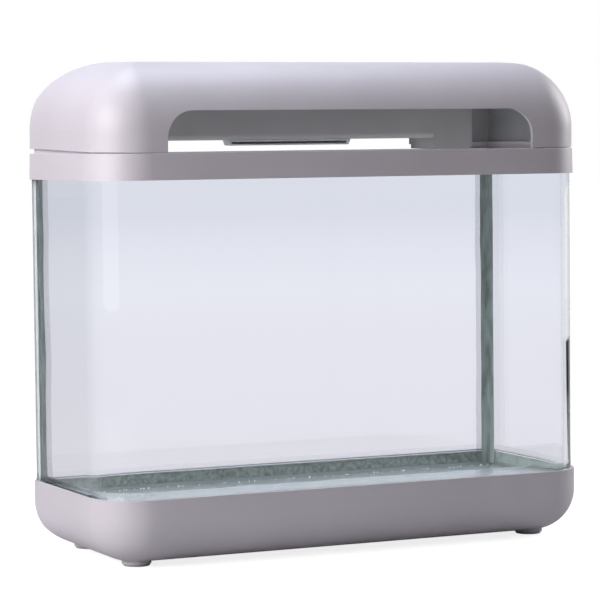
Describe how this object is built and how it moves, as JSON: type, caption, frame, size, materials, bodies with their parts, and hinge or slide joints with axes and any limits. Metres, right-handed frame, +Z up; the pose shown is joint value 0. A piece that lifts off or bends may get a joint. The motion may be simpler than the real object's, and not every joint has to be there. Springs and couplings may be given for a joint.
{
  "type": "desktop aquarium",
  "caption": "Slim desktop aquarium: bent glass tank on a low moulded base, with a moulded rim and a lift-off hood that has a feeding window and an LED lamp.",
  "frame": {"origin": "on the floor under the middle of the base", "axes": "+X along the tank's length, to the right seen from the front; +Y from the front to the back pane; +Z up"},
  "size_m": [0.4, 0.157, 0.3657],
  "materials": {
    "shell_abs": "satin moulded ABS",
    "cover_abs": "satin moulded ABS",
    "deck_abs": "matte",
    "foam": "closed-cell foam",
    "float_glass": "clear float glass",
    "silicone": "translucent silicone",
    "foot_rubber": "matte",
    "screw_steel": "plated",
    "lamp_aluminium": "satin",
    "lens_plastic": "frosted",
    "board": "white solder mask",
    "led_phosphor": "phosphor",
    "driver_case": "matte",
    "lead_sheath": "matte",
    "grommet_rubber": "matte"
  },
  "bodies": {
    "tank": {"base_shell": "shell_abs", "foot_front_left": "foot_rubber", "foot_front_right": "foot_rubber", "foot_rear_left": "foot_rubber", "foot_rear_right": "foot_rubber", "support_deck": "deck_abs", "bedding_strip": "foam", "bent_glass": "float_glass", "back_glass": "float_glass", "bottom_glass": "float_glass", "silicone_back_left": "silicone", "silicone_back_right": "silicone", "silicone_bottom": "silicone", "edge_seal": "silicone", "top_rim": "shell_abs", "rim_bond": "silicone"},
    "hood": {"hood_shell": "shell_abs", "inner_cover": "cover_abs", "cover_screws": "screw_steel", "lamp_housing": "lamp_aluminium", "lamp_lens": "lens_plastic", "led_board": "board", "led_chips": "led_phosphor", "lamp_screws": "screw_steel", "led_driver": "driver_case", "driver_screws": "screw_steel", "lamp_lead": "lead_sheath", "lead_grommet": "grommet_rubber"}
  },
  "joints": [
    {"name": "hood_lift", "type": "slide", "parent": "tank", "child": "hood", "axis": [0, 0, 1], "range_m": [0, 0.08]}
  ]
}
